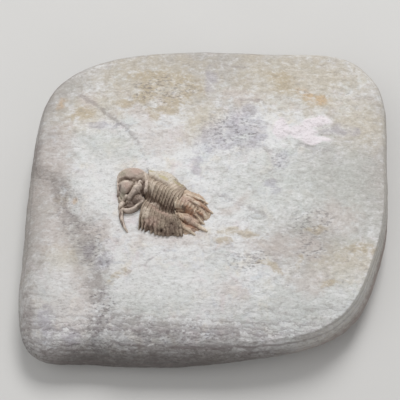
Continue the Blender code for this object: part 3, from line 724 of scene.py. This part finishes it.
thorax = {
    "rings": 11, "rows": 276, "across": 250,
    # sections across the body, far side first: x, y, height above the plateau
    "front": [(-17.2, 5.6, 0.5), (-17.0, 4.5, 1.6), (-16.8, 3.0, 2.6), (-16.75, 0.6, 4.2), (-17.1, -3.3, 2.3),
              (-17.8, -4.9, 3.3), (-18.8, -6.9, 3.2), (-19.4, -9.7, 2.1), (-19.6, -12.4, 0.5)],
    "middle": [(-11.0, 4.8, 0.5), (-11.4, 2.6, 1.8), (-11.62, 0.19, 2.8), (-12.16, -2.1, 4.2),
               (-13.2, -6.4, 1.6),
               (-13.4, -8.1, 3.0), (-13.5, -9.6, 2.8), (-13.6, -12.0, 1.9), (-13.6, -14.2, 0.5)],
    "rear": [(-5.8, 0.4, 0.6), (-6.5, -0.7, 1.8), (-6.83, -1.75, 2.8), (-7.64, -4.04, 3.8), (-9.2, -7.4, 1.3),
             (-8.7, -9.0, 2.6), (-7.7, -10.5, 2.3), (-7.1, -12.5, 1.5), (-7.0, -14.4, 0.5)],
    # ring relief at each point of the section: axis and near side strong, far side film-covered
    "relief": [0.08, 0.12, 0.16, 0.36, 0.50, 0.36, 0.32, 0.30, 0.36],
    # pairs below are a start and an end along the body (End) or across it from the far side (Side), 0 to 1;
    # fours are roughness: height, size, octaves, seed
    # ring lines: how many rings they lean over per unit of the way across, and wander
    "axisLean": 6.0, "farLean": 6.0, "nearLean": 0.225, "nearLeanSide": (0.55, 1.0),
    "wander": (0.22, 2.6, 2, 83), "ribWander": (0.22, 1.1, 2, 113), "ribWanderSide": (0.6, 0.8),
    # one ring, 0 to 1: share of its steep back, curve of its rise, lengthwise furrow and gap of the near ribs
    "dropShare": 0.16, "riseCurve": 0.8,
    "ribFurrow": 0.10, "ribFurrowPhase": (0.42, 0.12), "ribFurrowSide": ((0.56, 0.62), (0.86, 0.72)),
    "gapDepth": 1.1, "gapPhase": (0.5, 0.27), "gapSide": (0.80, 1.0), "gapFront": 0.22,
    "gapEnd": (0.48, 0.30),
    # patches along and across: centre, size, amount
    "farRib": ((0.66, 0.16), (0.13, 0.12), 0.26), "bare": ((0.04, 0.36), (0.07, 0.13), -0.85),
    "filmSwell": ((0.24, 0.15), (0.14, 0.075), 0.30),
    # furrows on both sides of the middle lobe: place in points of the section, half width; depth
    "nearAxis": (4.15, 0.34), "nearAxisDepth": 0.50, "farAxis": (1.95, 0.20), "farAxisDepth": 0.42,
    "farAxisEnd": (0.95, 0.55),
    "filmLumps": (0.34, 0.9, 2, 103), "filmLumpSide": (0.34, 0.22), "filmLumpEnd": (0.98, 0.9),
    "granuleHeight": 0.12, "nearGranules": 0.04, "nearGranuleSide": (0.6, 0.75), "granuleNoise": (0.5, 2, 91),
    "lumps": (0.17, 1.7, 2, 97),
    "pits": [(-13.2, -13.2, 0.45, 0.8), (-9.9, -14.0, 0.45, 0.8), (-10.1, -11.5, 0.4, 0.5)],
    # ragged far border, and how far the four edges dip into the stone
    "ragged": (0.75, 1.6, 3, 109), "raggedSide": (0.16, 0.0), "raggedWay": (0.6, 0.8),
    "dip": 1.3, "farDip": (0.04, 0.0), "nearDip": (0.978, 1.0), "frontDip": (0.012, 0.0),
    "frontDipShare": 0.45,
    "rearDip": (0.985, 1.0), "baseDrop": 0.8, "capLift": 0.3,
    # tone: how much the lobes count and over how many cells; changes by place in points of the section:
    # painted shade in the near axial furrow and on the near flank, painted light on the axis crest, darker
    # near pleurae
    "lobeTone": 0.25, "lobeCells": 200, "wideTone": 0.7, "furrowTone": 0.30, "furrowPlace": (4.05, 0.5),
    "toneBands": [(-0.20, (3.1, 3.8), (4.8, 4.3)), (0.10, (2.0, 2.4), (3.5, 3.1)),
                  (-0.10, (5.0, 6.0), (10, 9))],
    "borderSide": (0.09, 0.02), "borderEnd": (1.0, 0.85), "borderTone": 0.55, "borderFilm": 0.95,
    "filmSide": (0.30, 0.12), "filmEnd": (0.85, 0.50),
    # tints: the dark brown spots are painted shade in the furrows and on the near pleurae
    "tints": {"dusk": [(-11.6, -13.6, 4.4, 0.8, -8), (-17.2, -2.9, 1.40, 1.21, -20),
                       (-13.5, -5.6, 3.0, 0.8, -35), (-9.3, -6.9, 2.79, 0.8, -10),
                       (-10.1, -11.8, 2.6, 2.4, 0), (-12.9, -13.3, 1.9, 1.2, 0), (-16.8, -12.6, 2.6, 1.0, 5)],
              # pale spots: painted highlights on lit crests, and pale patches
              "pale": [(-15.7, -5.1, 2.6, 0.60, -20), (-10.2, 0.3, 2.25, 1.53, -40),
                       (-15.5, -0.9, 1.12, 2.43, -20), (-17.3, -8.2, 1.66, 1.79, 0)],
              "rose": [(-13.5, -7.6, 5.5, 1.2, -35), (-16.0, -11.0, 3.0, 2.5, 0)],
              "lichen": [(-16.0, 5.4, 1.5, 1.1, -20), (-12.6, 2.6, 2.2, 0.7, -35),
                         (-8.6, 1.0, 2.0, 0.8, -40)]},
}


def bodySurface(station, across):
    # smooth skin through the three sections; station and across run from 0 to 1 on a grid
    sections = np.array([thorax["front"], thorax["middle"], thorax["rear"]])
    section = through(sections, station * 2)
    places = across * (sections.shape[1] - 1)
    return np.stack([through(line, places) for line in section])


def surfaceNormal(points):
    # unit cross product of the two grid directions, turned upwards
    normal = np.cross(np.gradient(points, axis=0), np.gradient(points, axis=1))
    normal *= np.sign(normal[..., 2:])
    return normal / np.maximum(np.linalg.norm(normal, axis=-1, keepdims=True), 1e-9)


def buildThorax():
    # skin pushed out along its normal: a saw-tooth per ring, gaps between the near tips, granules
    t = thorax
    station, across = np.linspace(0, 1, t["rows"]), np.linspace(0, 1, t["across"])
    base = bodySurface(station, across)
    u, v = np.meshgrid(station, across, indexing="ij")
    x, y, flat = base[..., 0], base[..., 1], np.zeros_like(u)
    place = v * (len(t["relief"]) - 1)
    lines = u * t["rings"] + uneven(x, y, flat, t["wander"]) + t["nearLean"] * ease(*t["nearLeanSide"], v)
    lines = lines + uneven(x, y, flat, t["ribWander"]) * ease(*t["ribWanderSide"], v)
    lines = lines - t["axisLean"] * np.maximum(0.5 - v, 0) - t["farLean"] * np.maximum(0.25 - v, 0)
    phase, steep = lines % 1.0, t["dropShare"]
    saw = np.where(phase < 1 - steep, (phase / (1 - steep)) ** t["riseCurve"], (1 - phase) / steep)
    strength = through(np.array(t["relief"])[:, None], place)[..., 0] + patch(u, v, t["farRib"])
    push = strength * (1 + patch(u, v, t["bare"])) * (smoothed(saw, 3) - 0.5)
    push = push - t["ribFurrow"] * band(v, *t["ribFurrowSide"]) * bell(phase, *t["ribFurrowPhase"])
    openness = t["gapFront"] + (1 - t["gapFront"]) * ease(*t["gapEnd"], u)
    push = push - t["gapDepth"] * ease(*t["gapSide"], v) * openness * (1 - bell(phase, *t["gapPhase"]))
    push = push - t["nearAxisDepth"] * bell(place, *t["nearAxis"])
    push = push - t["farAxisDepth"] * bell(place, *t["farAxis"]) * ease(*t["farAxisEnd"], u)
    lumps = granules(x, y, t["filmLumps"], 0) * ease(*t["filmLumpSide"], v) * ease(*t["filmLumpEnd"], u)
    push = push + patch(u, v, t["filmSwell"]) + lumps + uneven(x, y, flat, t["lumps"])
    grainHeight = t["granuleHeight"] + t["nearGranules"] * ease(*t["nearGranuleSide"], v)
    push = push + grainHeight * roughness(x, y, flat, *t["granuleNoise"])
    for px, py, radius, depth in t["pits"]:
        push = push - depth * hill(x, y, (px, py), (radius, radius))
    skin = base + surfaceNormal(base) * push[..., None]
    ragged = ease(*t["raggedSide"], v) * uneven(x, y, flat, t["ragged"])
    skin[..., :2] = skin[..., :2] + ragged[..., None] * np.array(t["raggedWay"])
    dip = np.maximum(np.maximum(ease(*t["farDip"], v), ease(*t["nearDip"], v)),
                     np.maximum(t["frontDipShare"] * ease(*t["frontDip"], u), ease(*t["rearDip"], u)))
    skin[..., 2] = skin[..., 2] - t["dip"] * dip + stone["plateau"]
    lobes = base[..., 2] - smoothed(base[..., 2], t["lobeCells"])
    # painted shade in furrows and painted highlight on crests, by how far the skin stands above its
    # surroundings
    tone = crestTone(push + t["lobeTone"] * lobes, wideGain=t["wideTone"])
    # painted shade in the near axial furrow, then bands: painted shade on the near flank, painted light on
    # the axis crest, darker near pleurae
    tone = tone - t["furrowTone"] * bell(place, *t["furrowPlace"])
    for change, rise, fall in t["toneBands"]:
        tone = tone + change * band(place, rise, fall)
    border = ease(*t["borderSide"], v) * ease(*t["borderEnd"], u)
    tone = tone + (t["borderTone"] - tone) * border
    film = np.maximum(ease(*t["filmSide"], v) * ease(*t["filmEnd"], u), t["borderFilm"] * border)
    # ring per row: the skin and two corners below its edges, with nothing painted on the hidden corners
    left, right = skin[:, :1].copy(), skin[:, -1:].copy()
    left[..., 2] = right[..., 2] = stone["plateau"] - t["baseDrop"]
    rings = np.concatenate([left, skin, right], axis=1)
    ends = 0.5 * (rings[[0, -1], 0] + rings[[0, -1], -1]) + (0, 0, t["capLift"])
    fields = {"tone": np.clip(tone, 0, 1), "film": film, **tintMasks(x, y, t["tints"])}
    marks = {kind: np.append(np.pad(field, ((0, 0), (1, 1))).ravel(), (0.0, 0.0))
             for kind, field in fields.items()}
    piece = makePiece("thoraxRings", *closedTube(rings, ends=ends), marks)
    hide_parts("thorax")
    return piece


thoraxPiece = buildThorax()
print("thorax:", len(thoraxPiece.data.vertices), "points")


tail = {
    "area": (-9.6, 1.9, -14.6, -0.2), "step": 0.065, "sharpness": 5.5,
    "ridges": [([(-8.6, -4.7, 3.6), (-6.5, -5.5, 3.1), (-4.9, -6.4, 2.4), (-3.2, -7.4, 1.6)],
                [1.9, 1.6, 1.3, 0.7]),
               ([(-8.3, -1.5, 2.3), (-5.7, -2.1, 2.0), (-2.9, -3.3, 1.35), (-0.2, -4.5, 0.4)],
                [1.1, 0.75, 0.48, 0.2]),
               ([(-6.8, -3.5, 2.6), (-4.0, -4.5, 2.1), (-1.5, -5.8, 1.35), (1.2, -7.4, 0.3)],
                [0.9, 0.7, 0.5, 0.2]),
               ([(-4.6, -6.5, 2.0), (-2.9, -7.4, 1.5), (-0.7, -8.4, 0.3)], [0.8, 0.6, 0.2]),
               ([(-3.6, -4.9, 1.9), (-1.9, -6.4, 1.3), (-0.3, -7.6, 0.5)], [0.6, 0.5, 0.2]),
               ([(-7.7, -8.8, 2.0), (-6.0, -9.7, 2.2), (-4.5, -10.5, 1.5), (-2.6, -11.5, 1.15),
                 (-0.5, -12.7, 0.3)],
                [0.8, 0.8, 0.5, 0.5, 0.24]),
               ([(-7.6, -10.9, 1.5), (-6.2, -12.0, 1.3), (-5.1, -12.8, 0.9), (-3.8, -13.7, 0.2)],
                [0.8, 0.6, 0.42, 0.22]),
               ([(-4.3, -8.6, 1.7), (-2.6, -9.6, 1.1), (-1.2, -10.6, 0.3)], [0.55, 0.45, 0.2])],
    "domes": [((-5.6, -5.6, 1.75), (4.2, 4.4, 1.1), -25), ((-5.6, -9.2, 1.45), (3.2, 3.6, 1.0), -35),
              ((-6.4, -3.1, 2.45), (3.6, 2.0, 1.2), -28), ((-6.1, -9.7, 2.7), (1.35, 0.95, 1.2), -20),
              ((-3.4, -6.2, 1.6), (3.0, 1.8, 0.8), -30)],
    "grooves": [([(-8.8, -7.3), (-6.4, -7.7), (-4.9, -8.2), (-2.9, -9.4)], 0.34, 0.9),
                ([(-7.2, -10.2), (-5.7, -11.1), (-3.2, -11.9)], 0.26, 0.7),
                ([(-6.0, -3.0), (-3.5, -3.9), (-1.5, -4.6)], 0.24, 0.6),
                ([(-5.6, -4.6), (-3.5, -5.5), (-1.5, -6.6), (-0.1, -7.3)], 0.20, 0.45),
                ([(-3.9, -6.4), (-2.2, -7.4)], 0.22, 0.4)],
    # tints: the dark brown spots are painted shade in the furrows between ribs and spines
    "tints": {"dusk": [(-3.6, -5.9, 2.6, 0.40, -30), (-2.0, -8.6, 2.4, 0.40, -32),
                       (-2.1, -3.9, 1.12, 0.36, -20), (-0.9, -5.0, 0.98, 0.30, -30),
                       (-7.1, -6.8, 1.3, 0.7, -10),
                       (-3.7, -8.9, 1.67, 0.5, -35), (-1.2, -6.8, 1.68, 0.45, -40)],
              "rust": [(-3.0, -4.2, 2.2, 0.45, -28), (0.2, -6.6, 1.2, 0.5, -35), (-5.7, -7.1, 1.95, 1.05, -5),
                       (-4.3, -8.5, 1.95, 0.75, -35), (-5.1, -11.6, 2.22, 0.65, -20),
                       (-1.2, -6.1, 2.24, 0.90, -35), (-2.4, -7.9, 1.40, 0.75, -30),
                       (-6.8, -10.7, 1.11, 0.89, 0)],
              # pale spots: painted highlights on lit rib crests, and pale patches
              "pale": [(-2.9, -3.2, 2.53, 0.42, -22), (-1.5, -11.2, 1.39, 0.89, -30),
                       (-3.5, -5.0, 1.68, 0.50, -25),
                       (-1.0, -8.0, 1.12, 0.60, -30), (-5.9, -3.0, 1.6, 0.8, -20)],
              "rose": [(-5.2, -9.9, 3.2, 2.1, -28), (-6.6, -4.6, 2.6, 2.2, -30),
                       (-4.6, -12.2, 2.2, 0.8, -35)]},
    # low rings across the middle lobe: its line, direction, distance apart, height, wander, reach from the
    # line
    "ringPath": [(-9.0, -4.6), (-3.4, -7.4)], "ringAlong": (0.90, -0.44), "ringPitch": 0.95,
    "ringRelief": 0.16,
    "ringWander": (0.3, 2.0, 2, 51), "ringReach": (1.8, 0.6),
    "foot": (-0.2, 1.0), "granules": (0.20, 0.55, 2, 53), "swell": (0.24, 1.3, 3, 57),
}


def tailHeight(x, y):
    # the tail's forms with low rings across the middle lobe, granules and a slow swell
    t, flat = tail, np.zeros_like(x)
    startX, startY = t["ringPath"][0]
    along = (x - startX) * t["ringAlong"][0] + (y - startY) * t["ringAlong"][1]
    wave = np.sin((along / t["ringPitch"] + uneven(x, y, flat, t["ringWander"])) * 2 * math.pi)
    rings = t["ringRelief"] * wave * ease(*t["ringReach"], distanceToPath(x, y, t["ringPath"]))
    return formHeight(x, y, t) + rings + granules(x, y, t["granules"]) + uneven(x, y, flat, t["swell"])


tailPiece = reliefBlock("pygidiumPlate", "pygidium", tail, tailHeight)
print("tail:", len(tailPiece.data.vertices), "points")


# stains, painted light and painted shade in the order in which they are laid: shade, strength, how far noise
# frays the edge
washes = {
    "patina": ((164, 158, 151), 0.80, 0.7), "beige": ((190, 180, 161), 0.66, 0.9),
    "green": ((189, 192, 187), 0.60, 1.1), "pink": ((198, 188, 183), 0.56, 1.3),
    "bright": ((216, 216, 215), 0.55, 0.7), "ochre": ((178, 162, 134), 0.62, 1.7),
    "violet": ((172, 169, 181), 0.54, 1.7), "grey": ((146, 139, 137), 0.60, 1.4),
    "orange": ((201, 172, 138), 0.62, 1.4),
}
limestoneLook = {
    # noises: size in mm, detail, roughness, distortion, turn and stretch of the pattern
    "cloud": (1.7, 6.0, 0.66, 0.3, (0.15, (0.76, 1.28, 1.0))),
    "grain": (0.62, 4.0, 0.65, 0.0, (0.1, (0.8, 1.2, 1.0))),
    "specks": (0.75, 3.0, 0.6, 0.0, (0.1, (0.62, 1.3, 1.0))), "speckPatches": (7.0, 3.0),
    "tide": (14.0, 3.0), "fray": (4.0, 7.0, 0.7, 0.5), "bedBend": (7.0, 3.0), "gloss": (3.0, 2.0),
    "base": ((219, 219, 219), (211, 210, 209)), "hueStrength": 0.46,
    # faint hues all over: noise, shade
    "hues": [((5.0, 5.0, 0.62, 0.4), (214, 203, 184)), ((6.5, 5.0, 0.62, 0.6), (192, 200, 196)),
             ((4.2, 5.0, 0.62, 0.8), (206, 192, 196)), ((3.4, 5.0, 0.62, 1.0), (186, 190, 200))],
    "shells": (229, 221, 225), "shellStrength": 0.90, "shellFray": 0.35,
    # mottles: noise, where it starts and is full, strength, shade; the same for the sides
    "mottles": [("cloud", 0.50, 0.70, 0.42, (152, 146, 142)), ("cloud", 0.50, 0.30, 0.36, (230, 230, 230)),
                ("grain", 0.50, 0.70, 0.34, (146, 140, 136)), ("grain", 0.48, 0.28, 0.26, (232, 231, 230))],
    "sideMottles": [("cloud", 0.52, 0.34, 0.36, (152, 147, 144)), ("grain", 0.50, 0.66, 0.45, (56, 53, 53))],
    "speck": (112, 106, 108), "sparse": 0.5, "dense": 0.55,
    # dark bedding lines of the front, by y, and painted shade lines along ledge and cracks
    "frontLine": (112, 100, 103), "frontLineStrength": 0.40, "frontLineY": (-31.0, -39.0),
    "frontLineScale": 0.85,
    "crease": (134, 124, 128), "creaseStrength": 0.30, "creaseFray": 1.4, "creaseCloud": 1.2,
    # where the sides get painted shade, in mm: by z, lower over the left terrace; less on the right and the
    # left
    "sideZ": (17.7, 7.5), "terraceX": (-30.0, -44.0), "terraceDrop": 2.6, "sideCloud": 0.5, "sideGrain": 0.4,
    "rightX": (14.0, 38.0), "rightCalm": 0.8, "leftX": (-42.0, -52.0), "leftCalm": 0.65,
    # the first colour below is painted shade laid on the lower sides by height, the second more painted shade
    # towards the front
    "dustAndShade": (118, 112, 109), "dustAndShadeStrength": 0.40,
    "shadow": (64, 62, 62), "shadowStrength": 0.78, "shadowY": (-24.0, -42.0),
    "shadowRightX": (28.0, -6.0), "shadowRightLeast": 0.35,
    "shadowLeftX": (-34.0, -48.0), "shadowLeftCut": 0.45,
    "leftGrey": (122, 112, 106), "leftGreyStrength": 0.20, "leftGreyX": (-38.0, -49.0),
    # steep faces: bedding bands, painted shade, painted light on the upper right side and pinkish-brown
    # painted shade on the lower right side
    "steep": (0.06, 0.5), "bedBendHeight": 2.2, "bedScale": 0.95, "rightBedCut": 0.55,
    "bed": (108, 96, 96), "bedStrength": 0.52, "steepPaintedShade": (120, 112, 106), "steepStrength": 0.30,
    "rightPaintedLight": (221, 217, 207), "rightPaintedLightStrength": 0.6,
    "rightLowerPaintedShade": (134, 117, 111), "rightLowerStrength": 0.72, "rightLowerZ": (13.5, 9.0),
    "rightLowerBend": 9.0,
    "rough": (0.82, 0.95), "cloudBump": (0.8, 0.6), "grainBump": (0.18, 0.7),
}


def limestone():
    # pale base, washes of stains, painted light and painted shade laid over each other with frayed edges,
    # then mottles, specks and lines, painted shade and light on the sides, and bedding; each layer is a share
    # worked out from noise, place and painted masks
    m, k = Sheet("paleLimestone"), limestoneLook
    noises = {kind: m.noise(*k[kind]) for kind in ("cloud", "grain", "specks")}
    cloud, grain, specks = noises.values()
    colour = m.blend(m.noise(*k["tide"]).span(0.35, 0.65), *k["base"])
    fray = m.noise(*k["fray"]).span(0.30, 0.70) * 0.55 + cloud.span(0.30, 0.70) * 0.45
    for noise, shade in k["hues"]:
        colour = m.blend(m.noise(*noise).span(0.50, 0.72) * k["hueStrength"], colour, shade)
    for kind, (shade, strength, raggedness) in washes.items():
        here = m.attribute(kind)
        mask = (here + (fray - 0.5) * raggedness).span(-0.1, 1.05) * here.span(0.0, 0.35)
        colour = m.blend(mask * strength, colour, shade)
    mask = (m.attribute("white") + (fray - 0.5) * k["shellFray"]).span(0.12, 0.50)
    colour = m.blend(mask * k["shellStrength"], colour, k["shells"])
    for kind, low, high, strength, shade in k["mottles"]:
        colour = m.blend(noises[kind].span(low, high) * strength, colour, shade)
    sparse = specks.span(0.64, 0.72) * m.noise(*k["speckPatches"]).span(0.45, 0.62)
    dense = specks.span(0.50, 0.64) * m.attribute("speck").span(0.0, 0.7)
    colour = m.blend(sparse * k["sparse"] + dense * k["dense"], colour, k["speck"])
    lines = m.lines(m.y + (fray - 0.5) * 2.6 + m.x * 0.04, k["frontLineScale"])
    share = lines.span(0.48, 0.64) * m.y.span(*k["frontLineY"]) * k["frontLineStrength"]
    colour = m.blend(share, colour, k["frontLine"])
    # painted shade along the ledge step and in the cracks
    crease = m.attribute("crease")
    share = (crease + (fray - 0.5) * k["creaseFray"] + (cloud - 0.5) * k["creaseCloud"]).span(0.1, 1.1)
    colour = m.blend(share * crease.span(0.0, 0.5) * k["creaseStrength"], colour, k["crease"])
    right = m.x.span(*k["rightX"])
    plain = 1.0 - k["leftCalm"] * m.x.span(*k["leftX"])
    side = (m.z + m.x.span(*k["terraceX"]) * k["terraceDrop"]).span(*k["sideZ"])
    side = side + (cloud - 0.5) * k["sideCloud"] + (grain - 0.5) * k["sideGrain"]
    side = side.span(0.0, 1.0) * (1.0 - k["rightCalm"] * right)
    least = k["shadowRightLeast"]
    front = m.y.span(*k["shadowY"]) * (least + (1.0 - least) * m.x.span(*k["shadowRightX"]))
    front = front * (1.0 - k["shadowLeftCut"] * m.x.span(*k["shadowLeftX"]))
    # painted shade on the sides: one layer by height, a darker one towards the front
    colour = m.blend(side * plain * k["dustAndShadeStrength"], colour, k["dustAndShade"])
    colour = m.blend(side * front * k["shadowStrength"], colour, k["shadow"])
    for kind, low, high, strength, shade in k["sideMottles"]:
        colour = m.blend(side * noises[kind].span(low, high) * strength, colour, shade)
    colour = m.blend(m.x.span(*k["leftGreyX"]) * k["leftGreyStrength"], colour, k["leftGrey"])
    # steep: how far the face turns from upwards, which carries painted shade and, on the right, painted light
    steep = (1.0 - m.node("ShaderNodeSeparateXYZ", {}, [m.facing], 2)).span(*k["steep"]) * plain
    # pinkish-brown painted shade on the lower right steep side
    lower = right * steep * (m.z + (cloud - 0.5) * k["rightLowerBend"]).span(*k["rightLowerZ"])
    # painted light on the upper right steep side
    share = right * steep * grain.span(0.36, 0.56) * k["rightPaintedLightStrength"]
    colour = m.blend(share, colour, k["rightPaintedLight"])
    steep = steep * (1.0 - k["rightBedCut"] * right)
    beds = m.lines((m.z + (m.noise(*k["bedBend"]) - 0.5) * k["bedBendHeight"]) * k["bedScale"], 1.0)
    colour = m.blend(beds.span(0.48, 0.62) * steep * k["bedStrength"], colour, k["bed"])
    colour = m.blend(steep * k["steepStrength"], colour, k["steepPaintedShade"])
    colour = m.blend(lower * k["rightLowerStrength"], colour, k["rightLowerPaintedShade"])
    bumps = [(wire * k[bump][0], k[bump][1]) for wire, bump in ((cloud, "cloudBump"), (grain, "grainBump"))]
    return m.finish(colour, m.noise(*k["gloss"]).span(0.3, 0.7, *k["rough"]), bumps)


# colours shared by the three parts of the fossil: shade and strength over its tone
tintShades = {
    "rose": ((172, 146, 134), 0.66), "moss": ((160, 154, 136), 0.7), "rust": ((146, 104, 80), 0.80),
    # the dark brown is painted shade; the pale holds painted highlights and pale patches
    "dusk": ((92, 73, 62), 0.80), "pale": ((222, 208, 192), 0.6), "film": ((206, 199, 187), 0.80),
    "lichen": ((178, 168, 128), 0.8),
}
shellLook = {
    # noises: size in mm, detail, roughness
    "grain": (0.38, 4.0, 0.7), "mottle": (1.1, 4.0, 0.6), "dustAndShade": (2.4, 3.0), "fray": (0.8, 4.0, 0.7),
    "bumps": (0.9, 4.0, 0.6), "gloss": (1.2, 2.0),
    "mottleGain": 0.30, "grainGain": 0.25, "frayGain": 0.9, "dustShade": (150, 140, 120), "dustAndShadeStrength": 0.3,
    "darkGrain": 0.55, "lightGrain": 0.45, "bumpHeight": 0.12, "grainHeight": 0.10, "rough": (0.55, 0.8),
}


def shell(name, dark, middle, light, tints):
    # painted shade in furrows, flank colours and painted highlight on crests by tone, then the placed tints,
    # then grains
    m, k = Sheet(name), shellLook
    grain = m.noise(*k["grain"])
    tone = m.attribute("tone") + (m.noise(*k["mottle"]) - 0.5) * k["mottleGain"]
    tone = tone + (grain - 0.5) * k["grainGain"]
    colour = m.blend(tone.span(0.05, 0.52), dark, middle)
    colour = m.blend(tone.span(0.50, 1.0), colour, light)
    colour = m.blend(m.noise(*k["dustAndShade"]).span(0.4, 0.65) * k["dustAndShadeStrength"], colour, k["dustShade"])
    fray = (m.noise(*k["fray"]) - 0.5) * k["frayGain"]
    for kind in tints:
        shade, strength = tintShades[kind]
        colour = m.blend((m.attribute(kind) + fray).span(0.1, 0.9) * strength, colour, shade)
    colour = m.blend(grain.span(0.52, 0.72) * k["darkGrain"], colour, dark)
    colour = m.blend(grain.span(0.47, 0.30) * k["lightGrain"], colour, light)
    bumps = [(m.noise(*k["bumps"]) * k["bumpHeight"], 0.5), (grain * k["grainHeight"], 0.7)]
    return m.finish(colour, m.noise(*k["gloss"]).span(0.3, 0.7, *k["rough"]), bumps)


stonePiece.data.materials.append(limestone())
for piece, *look in (
        (headPiece, "headShell", (116, 98, 88), (178, 162, 151), (214, 199, 187),
         ("moss", "rose", "dusk", "pale")),
        (thoraxPiece, "bodyShell", (98, 81, 70), (152, 135, 119), (206, 191, 172),
         ("rose", "dusk", "pale", "film", "lichen")),
        (tailPiece, "tailShell", (108, 80, 64), (186, 163, 142), (224, 209, 189),
         ("rose", "rust", "dusk", "pale"))):
    piece.data.materials.append(shell(*look))
print("finishes done")


studio = {
    "floorSize": 4.0, "floorDrop": -0.0002, "floorShades": ((200, 199, 197), (206, 205, 203)),
    "floorNoise": (40.0, 2.0),
    "floorRough": 0.9, "aim": (0, 0, 0.02), "sky": 0.42,
    # lamps: place in metres, size, power
    "lamps": {"window": ((0.10, 0.46, 0.68), 0.29, 4.45), "fill": ((-0.28, -0.12, 0.55), 0.5, 0.75)},
}


def addFloor():
    # plain level sheet just under the part
    s = studio
    bpy.ops.mesh.primitive_plane_add(size=s["floorSize"], location=(0, 0, s["floorDrop"]))
    floor = bpy.context.object
    floor.name = "floor"
    m = Sheet("pale floor")
    colour = m.blend(m.noise(*s["floorNoise"]), *s["floorShades"])
    floor.data.materials.append(m.finish(colour, s["floorRough"], []))


def addLamp(name, place, size, power):
    # square lamp turned from its place to the part
    lamp = bpy.data.lights.new(name, "AREA")
    lamp.size, lamp.energy = size, power
    holder = bpy.data.objects.new(name, lamp)
    bpy.context.scene.collection.objects.link(holder)
    holder.location = place
    holder.rotation_euler = (Vector(place) - Vector(studio["aim"])).to_track_quat("Z", "Y").to_euler()


view = {"target": (-2.35, -2.6, 18.0), "elevation": 68.0, "lens": 80.0, "sensor": 36.0, "frameWidth": 114.0}


def addCamera():
    # the camera stands back from the target by frame width times lens over sensor
    v = view
    camera = bpy.data.cameras.new("camera")
    camera.lens, camera.sensor_width, camera.clip_start = v["lens"], v["sensor"], 0.01
    tilt = math.radians(v["elevation"])
    back = Vector((0, -math.cos(tilt), math.sin(tilt)))
    holder = bpy.data.objects.new("camera", camera)
    bpy.context.scene.collection.objects.link(holder)
    holder.location = (Vector(v["target"]) + back * v["frameWidth"] * v["lens"] / v["sensor"]) * mm
    holder.rotation_euler = back.to_track_quat("Z", "Y").to_euler()
    bpy.context.scene.camera = holder


addFloor()
for name, lamp in studio["lamps"].items():
    addLamp(name, *lamp)
world = bpy.data.worlds.new("studio")
world.use_nodes = True
sky = world.node_tree.nodes["Background"]
sky.inputs["Color"].default_value, sky.inputs["Strength"].default_value = (1, 1, 1, 1), studio["sky"]
bpy.context.scene.world = world
bpy.context.scene.view_settings.view_transform = "Standard"
addCamera()
print("stage done")

bpy.context.view_layer.update()
